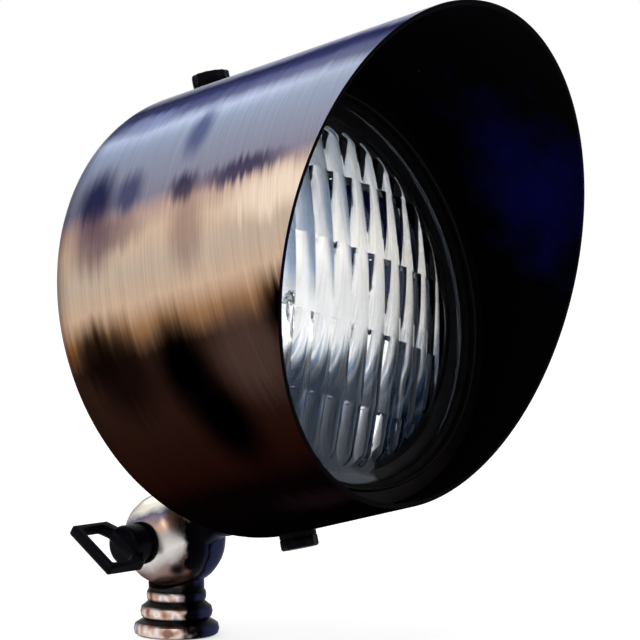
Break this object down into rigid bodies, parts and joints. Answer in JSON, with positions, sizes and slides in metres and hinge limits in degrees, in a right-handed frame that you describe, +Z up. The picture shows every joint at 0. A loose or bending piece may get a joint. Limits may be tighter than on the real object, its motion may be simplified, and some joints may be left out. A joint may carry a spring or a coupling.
{
  "type": "spotlight",
  "caption": "Brass landscape spotlight: tilting cup-shaped housing with a slanted hood and a fluted sealed-beam lens, on a thumb-screw swivel knuckle and a beaded round base.",
  "frame": {"origin": "middle of the round base's underside, at the mouth of its socket", "axes": "+Z up through the base, the lamp faces -Y and tilts about X, the thumb screw points to -X"},
  "size_m": [0.13, 0.1235, 0.1842],
  "materials": {
    "housing_brass": "spun antique brass, brushed round, dark copper and violet patina",
    "cast_brass": "cast antique brass, tumbled, dark in the grooves",
    "ring_paint": "satin black paint",
    "black_moulding": "glossy black moulding",
    "black_rubber": "matt black rubber",
    "zinc_steel": "bright zinc plate",
    "lens_glass": "clear pressed glass",
    "reflector_mirror": "aluminised glass",
    "lead_insulation": "matt black insulation"
  },
  "bodies": {
    "base": {"knuckle_lower": "cast_brass"},
    "head": {"knuckle_upper": "cast_brass", "stem_nipple": "cast_brass", "stem_gasket": "black_rubber", "saddle_washer": "zinc_steel", "stem_lock_nut": "zinc_steel", "housing_shell": "housing_brass", "lamp_lens": "lens_glass", "lamp_reflector": "reflector_mirror", "capsule_holder": "zinc_steel", "lamp_capsule": "lens_glass", "lamp_gasket": "black_rubber", "lamp_ring": "ring_paint", "lamp_clamp_ring": "zinc_steel", "ring_nut_top": "zinc_steel", "ring_nut_bottom": "zinc_steel", "terminal_post_left": "cast_brass", "terminal_post_right": "cast_brass", "terminal_screw_left": "zinc_steel", "terminal_screw_right": "zinc_steel", "lead_eyelet_left": "zinc_steel", "lead_eyelet_right": "zinc_steel", "lead_wire_left": "lead_insulation", "lead_wire_right": "lead_insulation"},
    "thumb_washer": {"thumbscrew_washer": "zinc_steel"},
    "thumb_screw": {"thumbscrew_handle": "black_moulding", "thumbscrew_bolt": "zinc_steel"},
    "top_knob_washer": {"knob_washer_top": "black_rubber"},
    "top_knob": {"knob_top": "black_moulding", "knob_stud_top": "zinc_steel"},
    "bottom_knob_washer": {"knob_washer_bottom": "black_rubber"},
    "bottom_knob": {"knob_bottom": "black_moulding", "knob_stud_bottom": "zinc_steel"}
  },
  "joints": [
    {"name": "head_tilt", "type": "hinge", "parent": "base", "child": "head", "pos_m": [0, 0, 0.0284], "axis": [-1, 0, 0], "range_deg": [-26, 75]},
    {"name": "thumb_washer_slide", "type": "slide", "parent": "base", "child": "thumb_washer", "axis": [-1, 0, 0], "range_m": [0, 0.003]},
    {"name": "thumb_screw_turn", "type": "hinge", "parent": "thumb_washer", "child": "thumb_screw", "pos_m": [0, 0, 0.0284], "axis": [-1, 0, 0], "range_deg": [0, 1080]},
    {"name": "top_washer_slide", "type": "slide", "parent": "head", "child": "top_knob_washer", "axis": [0, 0.2487, 0.9686], "range_m": [0, 0.0042]},
    {"name": "top_knob_turn", "type": "hinge", "parent": "top_knob_washer", "child": "top_knob", "pos_m": [0, -0.03104, 0.09689], "axis": [0, 0.2487, 0.9686], "range_deg": [0, 2160]},
    {"name": "bottom_washer_slide", "type": "slide", "parent": "head", "child": "bottom_knob_washer", "axis": [0, -0.2487, -0.9686], "range_m": [0, 0.0042]},
    {"name": "bottom_knob_turn", "type": "hinge", "parent": "bottom_knob_washer", "child": "bottom_knob", "pos_m": [0, -0.03104, 0.09689], "axis": [0, -0.2487, -0.9686], "range_deg": [0, 2160]}
  ],
  "couplings": [
    {"joint": "thumb_washer_slide", "follows": "thumb_screw_turn", "m_per_rad": 0.00015915},
    {"joint": "top_washer_slide", "follows": "top_knob_turn", "m_per_rad": 0.0001114},
    {"joint": "bottom_washer_slide", "follows": "bottom_knob_turn", "m_per_rad": 0.0001114}
  ]
}
